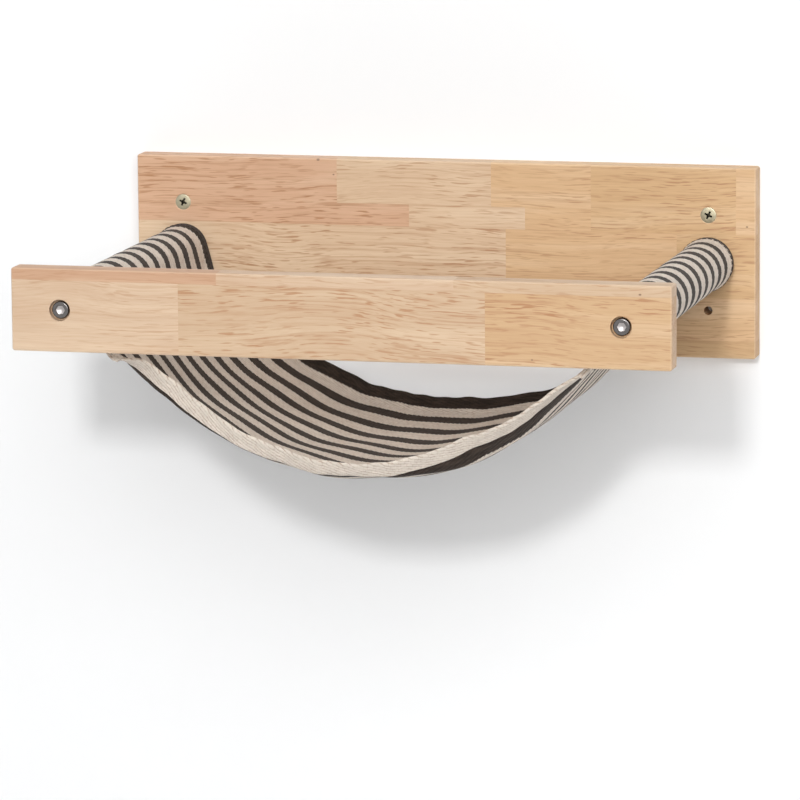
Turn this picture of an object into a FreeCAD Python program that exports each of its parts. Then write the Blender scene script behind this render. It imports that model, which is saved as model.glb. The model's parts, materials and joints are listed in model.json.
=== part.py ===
import FreeCAD, Part
import math
import os

# Wall shelf with a cloth sling: a back board and a front rail are joined by two
# round arms, and the sleeves of a canvas sling run on the arms.
# Millimetres. X runs to the right, Y into the wall and Z up. The origin lies on
# the wall, midway between the two wall screws.

# Wooden frame
shelf_width = 400.0
board_height = 120.0
board_thickness = 15.0
rail_height = 50.0
rail_thickness = 15.0
corner_radius = 1.6  # of a board's outline
edge_radius = 1.2
arm_diameter = 28.0
arm_length = 250.0
arm_inset = 30.0  # from the end of a board to the arm's axis

# Wall holes and wall screws
wall_hole_inset = 30.0  # from the end of the board
wall_hole_edge = 30.0  # from the upper or lower edge of the board
wall_hole_diameter = 5.5
screw_head_diameter = 10.0
screw_shank_diameter = 4.0
screw_thread_diameter = 5.0
screw_reach = 30.0  # length that goes into the wall
screw_point_length = 6.0
screw_point_diameter = 0.6
screw_sink = 0.3  # head below the face of the board
countersink_clearance = 0.05
cross_width = 1.2
cross_length = 5.0
cross_depth = 1.8

# Bolts that hold the boards to the arms
bolt_diameter = 6.0
bolt_engagement = 19.5  # length of bolt inside an arm
bolt_head_diameter = 10.5
bolt_head_height = 3.3
bolt_head_rim = 2.5  # height of the head's straight side
bolt_head_flat = 8.9  # diameter of the flat round the socket
socket_across_flats = 5.0
socket_depth = 2.0
head_recess = 1.2  # top of a bolt head below the face of the board
counterbore_clearance = 1.25
bolt_clearance = 0.25

# Threaded inserts in the ends of the arms
insert_diameter = 10.0
insert_length = 13.0
insert_clearance = 0.05
pilot_spare = 3.0  # hole left beyond the tip of a bolt

# Sling
cloth_thickness = 1.2
sleeve_clearance = 0.4
sleeve_slack = 17.6  # from the sleeve's round to the point where its layers meet
sleeve_angle = 50.0  # degrees below level at which the cloth leaves an arm
seam_allowance = 11.0
sling_end_gap = 0.5
sling_play = 4.0  # free travel of the sling along the arms
hem_run = 8.0
hem_rise = 9.5
hem_layers = 2
hem_drop = 98.0  # below the arms, where a hem joins the bed
bed_drop = 111.0  # below the arms, at the middle of the bed
bed_sections = 17
hem_round_share = 0.7  # share of the half span that is round where a hem joins the bed
bed_round_share = 0.82  # the same share at the middle of the bed

# Places worked out from the sizes
arm_x = shelf_width / 2 - arm_inset
arm_z = wall_hole_edge - board_height / 2
board_front = -board_thickness
rail_back = board_front - arm_length
rail_front = rail_back - rail_thickness
wall_hole_x = shelf_width / 2 - wall_hole_inset
lower_hole_z = 2 * arm_z
sling_back = board_front - sling_end_gap
sling_front = rail_back + sling_end_gap + sling_play
counterbore_diameter = bolt_head_diameter + 2 * counterbore_clearance
counterbore_depth = bolt_head_height + head_recess
sleeve_radius = arm_diameter / 2 + sleeve_clearance
sleeve_tilt = math.radians(sleeve_angle)
layers_meet = sleeve_radius + sleeve_slack
sleeve_taper = math.asin(sleeve_radius / layers_meet)
layers_flat = layers_meet + cloth_thickness * math.tan(sleeve_taper / 2)
seam_end = layers_flat + seam_allowance
bed_half_span = arm_x - seam_end * math.cos(sleeve_tilt)
seam_end_drop = seam_end * math.sin(sleeve_tilt)

INTO_WALL = FreeCAD.Vector(0, 1, 0)
OUT_OF_WALL = FreeCAD.Vector(0, -1, 0)
UP = FreeCAD.Vector(0, 0, 1)


def at(x, y, z):
    return FreeCAD.Vector(x, y, z)


def cylinder(diameter, length, start, way):
    return Part.makeCylinder(diameter / 2, length, start, way)


def turned(points):
    """Solid turned about Z from a closed outline of (radius, distance) points."""
    outline = Part.makePolygon([at(radius, 0, distance) for radius, distance in points])
    return Part.Face(outline).revolve(at(0, 0, 0), UP, 360)


def placed(shape, start, way):
    """Copy of a shape with its origin at start and its Z axis turned to way."""
    copy = shape.copy()
    copy.Placement = FreeCAD.Placement(start, FreeCAD.Rotation(UP, way))
    return copy


# Wooden frame


def rounded_board(height, thickness, back, middle):
    """Board with round corners and eased edges; back is its rear face and middle its mid height."""
    corner = at(-shelf_width / 2, back - thickness, middle - height / 2)
    blank = Part.makeBox(shelf_width, thickness, height, corner)
    corners = [edge for edge in blank.Edges if edge.BoundBox.YLength > thickness / 2]
    blank = blank.makeFillet(corner_radius, corners)
    rims = [edge for edge in blank.Edges if edge.BoundBox.YLength < thickness / 2]
    return blank.makeFillet(edge_radius, rims)


def bolt_hole(x, face, thickness, way):
    """Counterbored hole through a board, entered at face in the direction way."""
    start = at(x, face, arm_z)
    through = cylinder(bolt_diameter + 2 * bolt_clearance, thickness, start, way)
    return through.fuse(cylinder(counterbore_diameter, counterbore_depth, start, way))


def countersink(x, z):
    """Seat that the head of a wall screw has pressed into the face of the board."""
    wide = screw_head_diameter / 2 + screw_sink + countersink_clearance
    narrow = wall_hole_diameter / 2
    return Part.makeCone(wide, narrow, wide - narrow, at(x, board_front, z), INTO_WALL)


def make_back_board():
    cuts = []
    for side in (-1, 1):
        cuts.append(bolt_hole(side * arm_x, 0, board_thickness, OUT_OF_WALL))
        cuts.append(countersink(side * wall_hole_x, 0))
        for z in (0, lower_hole_z):
            start = at(side * wall_hole_x, board_front, z)
            cuts.append(cylinder(wall_hole_diameter, board_thickness, start, INTO_WALL))
    return rounded_board(board_height, board_thickness, 0, arm_z).cut(cuts)


def make_front_rail():
    cuts = [
        bolt_hole(side * arm_x, rail_front, rail_thickness, INTO_WALL)
        for side in (-1, 1)
    ]
    return rounded_board(rail_height, rail_thickness, rail_back, arm_z).cut(cuts)


def make_arm():
    """Round arm along Z from 0 to its length, bored at both ends for the inserts."""
    cuts = []
    for end, way in ((0, UP), (arm_length, -UP)):
        start = at(0, 0, end)
        wide = insert_diameter + 2 * insert_clearance
        pilot = bolt_diameter + 2 * bolt_clearance
        cuts.append(cylinder(wide, insert_length, start, way))
        cuts.append(cylinder(pilot, bolt_engagement + pilot_spare, start, way))
    return cylinder(arm_diameter, arm_length, at(0, 0, 0), UP).cut(cuts)


# Fasteners


def make_insert():
    """Threaded sleeve along Z, its outer end at the origin."""
    start = at(0, 0, 0)
    body = cylinder(insert_diameter, insert_length, start, UP)
    return body.cut(cylinder(bolt_diameter + 2 * insert_clearance, insert_length, start, UP))


def make_bolt(thickness):
    """Low-head socket bolt along Z for a board; the origin is under its head."""
    shank = bolt_diameter / 2
    rim = bolt_head_diameter / 2
    flat = bolt_head_flat / 2
    tip = thickness - counterbore_depth + bolt_engagement
    top = -bolt_head_height
    bolt = turned([
        (flat, top), (0, top), (0, tip), (shank, tip), (shank, 0), (rim, 0),
        (rim, -bolt_head_rim), (flat, top),
    ])
    corner = socket_across_flats / math.sqrt(3)
    turns = [math.radians(60 * step) for step in range(7)]
    hexagon = Part.makePolygon([at(corner * math.cos(t), corner * math.sin(t), top) for t in turns])
    socket = Part.Face(hexagon).extrude(UP * socket_depth)
    return bolt.cut(socket)


def make_wall_screw():
    """Countersunk cross-head screw along Z; the origin is on top of its head."""
    head = screw_head_diameter / 2
    shank = screw_shank_diameter / 2
    thread = screw_thread_diameter / 2
    wall_face = board_thickness - screw_sink
    point = wall_face + screw_reach
    screw = turned([
        (0, 0), (head, 0), (shank, head - shank), (shank, wall_face),
        (thread, wall_face), (thread, point - screw_point_length),
        (screw_point_diameter / 2, point), (0, point), (0, 0),
    ])
    slots = []
    for width, length in ((cross_width, cross_length), (cross_length, cross_width)):
        corner = at(-width / 2, -length / 2, 0)
        slots.append(Part.makeBox(width, length, cross_depth, corner))
    return screw.cut(slots)


# Sling


def side_slope(drop, round_share):
    """Slope of the straight sides of a bed section that hangs drop below the arms."""
    wanted = (drop - seam_end_drop) / bed_half_span
    low, high = 0.0, math.pi / 2
    for _ in range(60):
        slope = (low + high) / 2
        straight = (1 - round_share) * math.tan(slope)
        depth = straight + round_share * math.tan(slope / 2)
        if depth < wanted:
            low = slope
        else:
            high = slope
    return slope


def bed_section(y, drop, round_share, thickness):
    """Closed section across the sling: straight sides and a round bottom."""
    slope = side_slope(drop, round_share)
    radius = round_share * bed_half_span / math.sin(slope)
    centre_z = arm_z - drop + radius
    seam_z = arm_z - seam_end_drop

    def face_points(offset):
        """Seam end, tangent point and bottom of the face at offset from the middle."""
        seam_x = bed_half_span + offset * math.sin(sleeve_tilt)
        seam_height = seam_z - offset * math.cos(sleeve_tilt)
        round_radius = seam_x * math.sin(slope) - (seam_height - centre_z) * math.cos(slope)
        tangent_x = round_radius * math.sin(slope)
        tangent_z = centre_z - round_radius * math.cos(slope)
        return (seam_x, seam_height), (tangent_x, tangent_z), centre_z - round_radius

    def spot(place, side):
        return at(side * place[0], y, place[1])

    def face_edges(points, way):
        """Edges of one face, from the side -way to the side way."""
        seam, tangent, bottom = points
        start, first = spot(seam, -way), spot(tangent, -way)
        last, end = spot(tangent, way), spot(seam, way)
        arc = Part.Arc(first, at(0, y, bottom), last).toShape()
        return [Part.makeLine(start, first), arc, Part.makeLine(last, end)]

    upper = face_points(-thickness / 2)
    lower = face_points(thickness / 2)
    edges = face_edges(upper, 1)
    edges.append(Part.makeLine(spot(upper[0], 1), spot(lower[0], 1)))
    edges += face_edges(lower, -1)
    edges.append(Part.makeLine(spot(lower[0], -1), spot(upper[0], -1)))
    return Part.Wire(edges)


def make_sling_bed():
    """Bed of the sling, deepest in the middle, between the two hems."""
    first, last = sling_front + hem_run, sling_back - hem_run
    sections = []
    for step in range(bed_sections):
        share = step / (bed_sections - 1)
        y = first + share * (last - first)
        hem_part = (2 * share - 1) ** 2
        drop = bed_drop + (hem_drop - bed_drop) * hem_part
        round_share = bed_round_share + (hem_round_share - bed_round_share) * hem_part
        sections.append(bed_section(y, drop, round_share, cloth_thickness))
    return Part.makeLoft(sections, True, True)


def make_hem(edge, way):
    """Turned-over hem that rises from the bed to its free edge at Y = edge."""
    thickness = hem_layers * cloth_thickness
    free = bed_section(edge, hem_drop - hem_rise, hem_round_share, thickness)
    joined = bed_section(edge + way * hem_run, hem_drop, hem_round_share, thickness)
    return Part.makeLoft([free, joined], True, True)


def make_sleeve(side):
    """Sleeve round one arm: a drop-shaped loop that closes in a flat sewn seam."""
    axis = at(side * arm_x, sling_front, arm_z)
    along = at(-side * math.cos(sleeve_tilt), 0, -math.sin(sleeve_tilt))
    across = at(-side * math.sin(sleeve_tilt), 0, math.cos(sleeve_tilt))
    half_width = cloth_thickness

    def spot(distance, offset):
        return axis + along * distance + across * offset

    def loop(radius, tip):
        """Edges of a drop-shaped outline, open between the two ends given by tip."""
        touch = spot(radius * math.sin(sleeve_taper), radius * math.cos(sleeve_taper))
        other = spot(radius * math.sin(sleeve_taper), -radius * math.cos(sleeve_taper))
        top, back, below = spot(0, radius), spot(-radius, 0), spot(0, -radius)
        mid = radius * math.sqrt(0.5)
        return [
            Part.makeLine(tip[0], touch),
            Part.Arc(touch, spot(radius * math.sin(sleeve_taper / 2),
                                 radius * math.cos(sleeve_taper / 2)), top).toShape(),
            Part.Arc(top, spot(-mid, mid), back).toShape(),
            Part.Arc(back, spot(-mid, -mid), below).toShape(),
            Part.Arc(below, spot(radius * math.sin(sleeve_taper / 2),
                                 -radius * math.cos(sleeve_taper / 2)), other).toShape(),
            Part.makeLine(other, tip[1]),
        ]

    inner_tip = spot(layers_meet, 0)
    inner = Part.Wire(loop(sleeve_radius, (inner_tip, inner_tip)))
    flat_top, flat_low = spot(layers_flat, half_width), spot(layers_flat, -half_width)
    end_top, end_low = spot(seam_end, half_width), spot(seam_end, -half_width)
    outer_edges = loop(sleeve_radius + cloth_thickness, (flat_top, flat_low))
    for start, end in ((flat_low, end_low), (end_low, end_top), (end_top, flat_top)):
        outer_edges.append(Part.makeLine(start, end))
    outer = Part.Wire(outer_edges)
    length = INTO_WALL * (sling_back - sling_front)
    return Part.Face(outer).extrude(length).cut(Part.Face(inner).extrude(length))


def make_nodes():
    arm = make_arm()
    insert = make_insert()
    rail_bolt = make_bolt(rail_thickness)
    board_bolt = make_bolt(board_thickness)
    wall_screw = make_wall_screw()
    nodes = {
        "back_board": make_back_board(),
        "front_rail": make_front_rail(),
        "sling_bed": make_sling_bed(),
        "front_hem": make_hem(sling_front, 1),
        "rear_hem": make_hem(sling_back, -1),
    }
    for name, side in (("left", -1), ("right", 1)):
        x = side * arm_x
        board_end = at(x, board_front, arm_z)
        rail_end = at(x, rail_back, arm_z)
        rail_seat = at(x, rail_front + counterbore_depth, arm_z)
        board_seat = at(x, -counterbore_depth, arm_z)
        screw_top = at(side * wall_hole_x, board_front + screw_sink, 0)
        nodes["arm_" + name] = placed(arm, board_end, OUT_OF_WALL)
        nodes["front_insert_" + name] = placed(insert, rail_end, INTO_WALL)
        nodes["rear_insert_" + name] = placed(insert, board_end, OUT_OF_WALL)
        nodes["front_bolt_" + name] = placed(rail_bolt, rail_seat, INTO_WALL)
        nodes["rear_bolt_" + name] = placed(board_bolt, board_seat, OUT_OF_WALL)
        nodes["wall_screw_" + name] = placed(wall_screw, screw_top, INTO_WALL)
        nodes["sleeve_" + name] = make_sleeve(side)
    return nodes


os.makedirs("parts", exist_ok=True)
for node, shape in make_nodes().items():
    shape.exportStep("parts/" + node + ".step")
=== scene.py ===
import json
import math

import bpy
import numpy as np
from mathutils import Matrix, Vector


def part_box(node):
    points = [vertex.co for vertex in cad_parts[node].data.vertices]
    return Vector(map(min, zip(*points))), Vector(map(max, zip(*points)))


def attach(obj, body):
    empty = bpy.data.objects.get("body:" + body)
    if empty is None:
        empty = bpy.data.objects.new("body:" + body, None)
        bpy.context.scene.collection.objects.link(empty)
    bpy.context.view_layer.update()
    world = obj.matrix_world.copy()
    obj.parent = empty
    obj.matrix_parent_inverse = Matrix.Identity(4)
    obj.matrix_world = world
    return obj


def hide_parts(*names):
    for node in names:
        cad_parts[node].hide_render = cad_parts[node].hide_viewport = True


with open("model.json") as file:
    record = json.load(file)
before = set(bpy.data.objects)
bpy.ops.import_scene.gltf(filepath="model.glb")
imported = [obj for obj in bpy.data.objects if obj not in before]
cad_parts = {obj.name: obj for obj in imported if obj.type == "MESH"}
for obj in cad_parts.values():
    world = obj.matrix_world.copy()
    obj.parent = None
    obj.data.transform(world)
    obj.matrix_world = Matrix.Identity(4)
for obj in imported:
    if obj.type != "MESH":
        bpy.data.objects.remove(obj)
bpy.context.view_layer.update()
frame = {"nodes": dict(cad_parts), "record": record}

bl_info = {
    "name": "Wall Shelf with a Sling",
    "version": (1, 0, 0),
    "blender": (4, 5, 0),
    "location": "3D View > Sidebar > Wall Shelf",
    "description": "Finishes the frame of a wall shelf and hangs its striped canvas sling",
    "category": "Object",
}

MM = 0.001
SIDES = {"left": -1, "right": 1}
WHITE = (1.0, 1.0, 1.0)


def box_middle(node):
    """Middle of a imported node's box."""
    low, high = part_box(node)
    return (low + high) / 2


# Settings


def number(name, description, default, **kind):
    """Setting that is never negative."""
    return bpy.props.FloatProperty(name=name, description=description, default=default, min=0.0, **kind)


def length(name, description, default):
    """Setting in metres."""
    return number(name, description, default, precision=5, subtype="DISTANCE", unit="LENGTH")


def power(name, description, default):
    """Setting in watts."""
    return number(name, description, default, unit="POWER")


def share(name, description, default):
    """Setting from 0 to 1."""
    return number(name, description, default, max=1.0, subtype="FACTOR")


def angle(name, description, degrees):
    """Setting for an angle, with its default in degrees."""
    return bpy.props.FloatProperty(
        name=name, description=description, default=math.radians(degrees), subtype="ANGLE", unit="ROTATION")


def colour(name, owner, default):
    """Setting for the colour of something."""
    return bpy.props.FloatVectorProperty(
        name=name, description="Colour of " + owner, default=default, min=0.0, max=1.0, subtype="COLOR")


def spot(name, description, default):
    """Setting for a place, in metres."""
    return bpy.props.FloatVectorProperty(
        name=name, description=description, default=default, precision=5, subtype="XYZ", unit="LENGTH")


class WoodSettings(bpy.types.PropertyGroup):
    """Colours of the glued-up hardwood."""
    pink: colour("Pink strip", "the pinkish strips", (0.66, 0.41, 0.265))
    straw: colour("Straw strip", "the pale yellow strips", (0.70, 0.51, 0.34))
    cream: colour("Pale strip", "the palest strips of the rail", (0.735, 0.54, 0.375))
    honey: colour("Honey strip", "the warmest strips", (0.665, 0.44, 0.236))
    amber: colour("Amber strip", "the pale warm strips on the right", (0.70, 0.467, 0.262))
    # Painted shade: the rail's wood is made darker than the board's because the nearer lamps light it more
    rail_painted_shade: share("Rail shade", "Brightness of the rail's wood against the board's", 0.85)
    pore: colour("Pores", "the open pores and the growth lines", (0.42, 0.215, 0.105))
    sap: colour("Sapwood", "the pale bands in a block", (0.86, 0.69, 0.50))
    # Painted highlight: paler colour for the eased edges, standing for the light they catch
    painted_edge_highlight: colour("Rubbed edges", "the eased edges", (0.86, 0.70, 0.53))
    knot: colour("Knots", "the pin knots", (0.13, 0.06, 0.035))
    roughness: share("Roughness", "Roughness of the matt lacquer", 0.5)


class SlingSettings(bpy.types.PropertyGroup):
    """Sizes and colours of the canvas sling."""
    thickness: length("Thickness", "Thickness of one layer of canvas", 1.0 * MM)
    sleeve_gap: length("Sleeve gap", "From an arm to the middle of the canvas round it", 1.0 * MM)
    sleeve_tilt: angle("Sleeve tilt", "Slope at which the canvas leaves an arm", 50.0)
    layers_meet: length("Layers meet", "From an arm's axis to where a sleeve's layers meet", 33.0 * MM)
    seam_end: length("Seam end", "From an arm's axis to the end of the sewn seam", 43.3 * MM)
    bed_drop: length("Bed drop", "Depth of the bed below the arms in its middle", 110.0 * MM)
    end_drop: length("End drop", "Depth of the bed below the arms at its front and back", 95.8 * MM)
    bed_round: share("Round of the bed", "Share of the half span that is round in the bed's middle", 0.9)
    hem_round: share("Round of a hem", "Share of the half span that is round at a hem", 0.636)
    right_full: share("Fuller right", "Share by which a hem's right end hangs like the bed's middle", 0.72)
    fills: share("Hem fills", "Share of the right half over which a hem gets fuller", 0.6)
    deepens: number("Bed deepens", "Power by which the bed deepens behind a hem", 2.8)
    flat_left: length("Lip on the left", "Width of the front lip's flat at the left end", 9.6 * MM)
    flat_middle: length("Lip in the middle", "Width of a lip's flat in the middle", 4.4 * MM)
    flat_right: length("Lip on the right", "Width of the front lip's flat on the right", 17.6 * MM)
    widens: share("Lip widens", "Share of the right half over which the front lip widens", 0.58)
    lean_left: angle("Lean on the left", "Lean of the front lip from upright at the left end", 0.0)
    lean_middle: angle("Lean in the middle", "Lean of a lip from upright in the middle", 36.5)
    lean_right: angle("Lean on the right", "Lean of the front lip from upright at the right end", 76.0)
    leans: share("Lip leans", "Share of the right half after which the front lip leans further", 0.3)
    lip_turn: length("Turn of a lip", "Width over which a lip turns into the bed", 2.9 * MM)
    hem_fold: length("Hem fold", "Width of the canvas folded under along a hem", 8.8 * MM)
    seam_pucker: length("Seam pucker", "Height of the puckers beside a seam", 0.30 * MM)
    seam_reach: length("Seam reach", "Width over which a seam's puckers fade", 22.0 * MM)
    hem_pucker: length("Hem pucker", "Height of the puckers along a hem", 0.28 * MM)
    hem_reach: length("Hem reach", "Width over which a hem's puckers fade", 14.0 * MM)
    broad_fold: length("Broad folds", "Height of the broad soft folds in the bed", 0.55 * MM)
    slanting_fold: length("Slanting folds", "Height of the slanting folds in the bed", 0.35 * MM)
    sleeve_wave: length("Sleeve waves", "Height of the waves of a sleeve", 0.16 * MM)
    stripe_pitch: length("Stripe pitch", "Width of one dark and one pale stripe", 21.3 * MM)
    dark_width: length("Dark stripe", "Width of a dark stripe", 9.7 * MM)
    first_dark: length("First dark stripe", "From the front edge to the first dark stripe", 9.0 * MM)
    pitches: number("Stripe count", "Pitches from the first dark stripe to the last", 11.0)
    taper: number("Taper", "Share by which the stripes spread towards the left, per metre", 0.055)
    tooth: length("Stripe tooth", "Length of one tooth of a stripe's edge", 3.0 * MM)
    yarn: length("Yarn", "Spacing of the slanting rows of the twill", 1.9 * MM)
    twill: angle("Twill", "Slant of the twill's rows against the stripes", 17.0)
    stitch: length("Stitch", "Length of one stitch and the gap after it", 3.6 * MM)
    thread: length("Thread", "Diameter of the sewing thread", 0.5 * MM)
    pale: colour("Pale yarn", "the undyed yarn", (0.645, 0.577, 0.504))
    husk: colour("Husk", "the specks in the undyed yarn", (0.46, 0.34, 0.26))
    # Painted shade: the grooves between yarns are darkened with these colours, standing for the shade in
    # the weave
    groove_shade: colour("Groove", "the grooves between undyed yarns", (0.40, 0.285, 0.215))
    dark: colour("Dark yarn", "the dyed yarn", (0.030, 0.021, 0.016))
    dark_groove_shade: colour("Dark groove", "the grooves between dyed yarns", (0.006, 0.005, 0.004))


class FastenerSettings(bpy.types.PropertyGroup):
    """Sizes and colours of the bolts, inserts and wall screws."""
    bolt_head: length("Bolt head", "Height of the bolt's head", 3.3 * MM)
    socket: length("Hexagon socket", "Width across the flats of the bolt's socket", 5.0 * MM)
    bolt_pitch: length("Bolt pitch", "Pitch of the bolt's thread", 1.0 * MM)
    screw_pitch: length("Screw pitch", "Pitch of the wall screw's thread", 2.2 * MM)
    cross_turn: angle("Cross turn", "Turn of the cross recess of the wall screws", 24.0)
    # Painted reflection: the nickel is made dark to stand for the dark room that the bolt heads reflect
    nickel: colour("Nickel", "the bolts", (0.155, 0.145, 0.142))
    zinc: colour("Yellow zinc", "the wall screws", (0.38, 0.345, 0.245))
    steel: colour("Plain zinc", "the threaded inserts", (0.60, 0.60, 0.58))


class StageSettings(bpy.types.PropertyGroup):
    """Wall, floor, light and camera."""
    wall: colour("Wall", "the wall and the floor", (0.95, 0.955, 0.96))
    lift: share("White", "Share of plain white in the wall as the camera sees it", 0.1)
    floor_lift: share("White floor", "Share of plain white in the floor as the camera sees it", 0.85)
    floor_drop: length("Floor", "Depth of the floor below the wall screws", 2.0)
    floor_reach: length("Floor reach", "Depth of the floor in front of the wall", 3.0)
    wall_reach: length("Wall reach", "Reach of the wall upwards and to each side", 6.0)
    key: power("Key lamp", "Power of the lamp that casts the shadow", 48.0)
    key_size: length("Key size", "Side of the lamp that casts the shadow", 0.26)
    key_place: spot("Key place", "Place of the lamp that casts the shadow", (0.3, -3.6, 1.15))
    fill: power("Fill lamp", "Power of the large lamp that fills the shadow", 47.5)
    fill_size: length("Fill size", "Side of the large lamps", 2.0)
    fill_place: spot("Fill place", "Place of the lamp that fills the shadow", (0.7, -2.9, 1.0))
    behind: power("Rear lamp", "Power of the lamp for the board's back", 60.0)
    behind_place: spot("Rear place", "Place of the lamp for the board's back", (0.0, 3.0, 0.8))
    lit: spot("Lit point", "Point that the lamps face", (0.0, -0.14, -0.1))
    zenith: share("Light above", "Strength of the soft light from above", 0.55)
    horizon: share("Light around", "Strength of the soft light from the horizon", 0.18)
    target: spot("Target", "Point that the camera faces", (0.005167, -0.150, -0.099608))
    azimuth: angle("Azimuth", "Camera's turn to the right of the front", 14.066)
    elevation: angle("Elevation", "Camera's height above the horizon", 9.591)
    roll: angle("Roll", "Camera's turn about its own axis", -0.453)
    distance: length("Distance", "From the camera to its target", 3.498479)
    lens: number("Lens", "Focal length in millimetres", 258.2913)


class ShelfSettings(bpy.types.PropertyGroup):
    """All settings of the wall shelf."""
    wood: bpy.props.PointerProperty(type=WoodSettings)
    sling: bpy.props.PointerProperty(type=SlingSettings)
    fasteners: bpy.props.PointerProperty(type=FastenerSettings)
    stage: bpy.props.PointerProperty(type=StageSettings)


# Materials


class Field:
    """Value that nodes give at each place; arithmetic on it adds nodes."""

    def __init__(self, nodes, socket):
        self.nodes = nodes
        self.socket = socket

    def __add__(self, other):
        return self.nodes.math("ADD", self, other)

    def __sub__(self, other):
        return self.nodes.math("SUBTRACT", self, other)

    def __rsub__(self, other):
        return self.nodes.math("SUBTRACT", other, self)

    def __mul__(self, other):
        return self.nodes.math("MULTIPLY", self, other)

    def __truediv__(self, other):
        return self.nodes.math("DIVIDE", self, other)

    def __lt__(self, other):
        return self.nodes.math("LESS_THAN", self, other)

    def __abs__(self):
        return self.nodes.math("ABSOLUTE", self)


class Nodes:
    """Node tree of a material or of the world, made from nothing."""

    def __init__(self, tree):
        self.tree = tree
        tree.nodes.clear()

    def add(self, kind, inputs=None, **settings):
        """New node with its settings; an input is a plain value or a field."""
        made = self.tree.nodes.new(kind)
        for key, value in settings.items():
            setattr(made, key, value)
        for key, value in (inputs or {}).items():
            self.feed(made.inputs[key], value)
        return made

    def read(self, kind, inputs=None, output=0, **settings):
        """Field that a new node gives."""
        return Field(self, self.add(kind, inputs, **settings).outputs[output])

    def feed(self, socket, value):
        """Links a field to a socket or sets its plain value."""
        if isinstance(value, Field):
            self.tree.links.new(value.socket, socket)
        elif socket.type == "RGBA":
            socket.default_value = (*value, 1.0)
        else:
            socket.default_value = value

    def math(self, operation, *values):
        return self.read("ShaderNodeMath", dict(enumerate(values)), operation=operation)

    def mix(self, factor, first, second):
        """Colour between two others."""
        return self.read("ShaderNodeMix", {0: factor, 6: first, 7: second}, 2, data_type="RGBA")

    def span(self, value, low, high, start=0.0, end=1.0, kind="SMOOTHSTEP"):
        """value from low to high as start to end."""
        inputs = dict(enumerate((value, low, high, start, end)))
        return self.read("ShaderNodeMapRange", inputs, interpolation_type=kind)

    def axes(self, vector):
        """X, Y and Z of a vector."""
        return [Field(self, axis) for axis in self.add("ShaderNodeSeparateXYZ", {0: vector}).outputs]

    def vector(self, *axes):
        return self.read("ShaderNodeCombineXYZ", dict(enumerate(axes)))

    def pair(self, operation, first, second, output=0):
        """Field from two vectors."""
        return self.read("ShaderNodeVectorMath", {0: first, 1: second}, output, operation=operation)

    def noise(self, vector, scale, detail=2.0, roughness=0.5):
        """Noise with its own scale along each axis."""
        stretched = self.pair("MULTIPLY", vector, scale)
        inputs = {"Vector": stretched, "Scale": 1.0, "Detail": detail, "Roughness": roughness}
        return self.read("ShaderNodeTexNoise", inputs)


class Finish(Nodes):
    """Material that ends in a Principled shader."""

    def __init__(self, name):
        self.material = bpy.data.materials.new(name)
        self.material.use_nodes = True
        super().__init__(self.material.node_tree)
        self.shader = self.add("ShaderNodeBsdfPrincipled")
        self.surface = Field(self, self.shader.outputs[0])
        self.output = self.add("ShaderNodeOutputMaterial", {"Surface": self.surface})

    def set(self, **sockets):
        """Feeds the shader's sockets, named with underscores for spaces."""
        for key, value in sockets.items():
            self.feed(self.shader.inputs[key.replace("_", " ")], value)

    def bump(self, height, strength, distance):
        """Fine relief of the surface."""
        inputs = {"Height": height, "Strength": strength, "Distance": distance}
        self.set(Normal=self.read("ShaderNodeBump", inputs))


def shaded(tint, factor):
    """Colour made darker or brighter."""
    return [factor * part for part in tint]


def block_ramp(finish, along, blocks):
    """Colour and seed of the block at a place along a strip; blocks are (start, colour, seed)."""
    ramp = finish.add("ShaderNodeValToRGB", {0: along})
    ramp.color_ramp.interpolation = "CONSTANT"
    stops = ramp.color_ramp.elements
    while len(stops) < len(blocks):
        stops.new(1.0)
    for stop, (start, tint, seed) in zip(stops, blocks):
        stop.position = start
        stop.color = (*tint, seed)
    return Field(finish, ramp.outputs[0]), Field(finish, ramp.outputs[1])


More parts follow.
